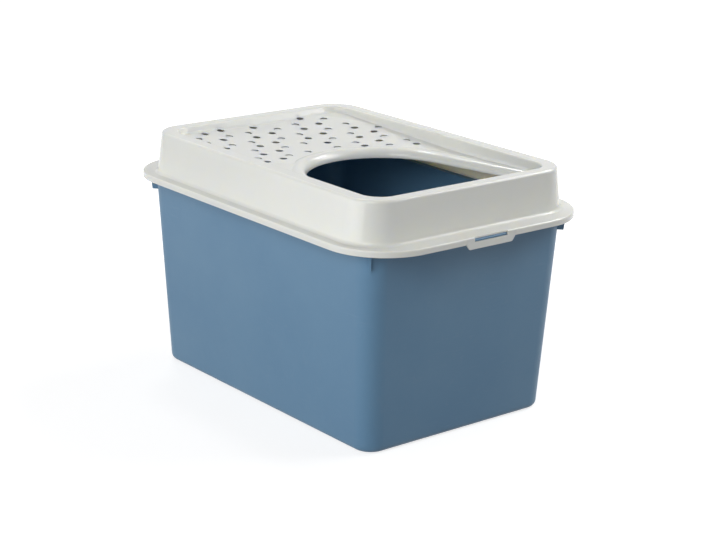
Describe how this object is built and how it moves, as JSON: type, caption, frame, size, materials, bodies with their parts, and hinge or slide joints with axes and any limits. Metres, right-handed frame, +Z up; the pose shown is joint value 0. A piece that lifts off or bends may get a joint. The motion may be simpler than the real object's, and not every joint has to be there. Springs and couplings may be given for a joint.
{
  "type": "top entry litter box",
  "caption": "Deep tapered tub with a lift-off lid: a raised collar holds a sunken perforated deck and a D-shaped entry hole, and a snap tab at each end clips over the tub's rim.",
  "frame": {"origin": "middle of the tub's flat base", "axes": "+X along the box towards the entry hole, +Z up"},
  "size_m": [0.572, 0.393, 0.342],
  "materials": {
    "tub_plastic": "satin",
    "lid_plastic": "semi-gloss"
  },
  "bodies": {
    "tub": {"tub": "tub_plastic"},
    "lid": {"lid": "lid_plastic"},
    "front_snap_tab": {"front_snap_tab": "lid_plastic"},
    "rear_snap_tab": {"rear_snap_tab": "lid_plastic"}
  },
  "joints": [
    {"name": "lift_off", "type": "slide", "parent": "tub", "child": "lid", "axis": [0, 0, 1], "range_m": [0, 0.12]},
    {"name": "front_tab_flex", "type": "hinge", "parent": "lid", "child": "front_snap_tab", "pos_m": [0.286, 0, 0.2824], "axis": [0, -1, 0], "range_deg": [0, 18], "stiffness_Nm_per_rad": 0.4},
    {"name": "rear_tab_flex", "type": "hinge", "parent": "lid", "child": "rear_snap_tab", "pos_m": [-0.286, 0, 0.2824], "axis": [0, 1, 0], "range_deg": [0, 18], "stiffness_Nm_per_rad": 0.4}
  ]
}
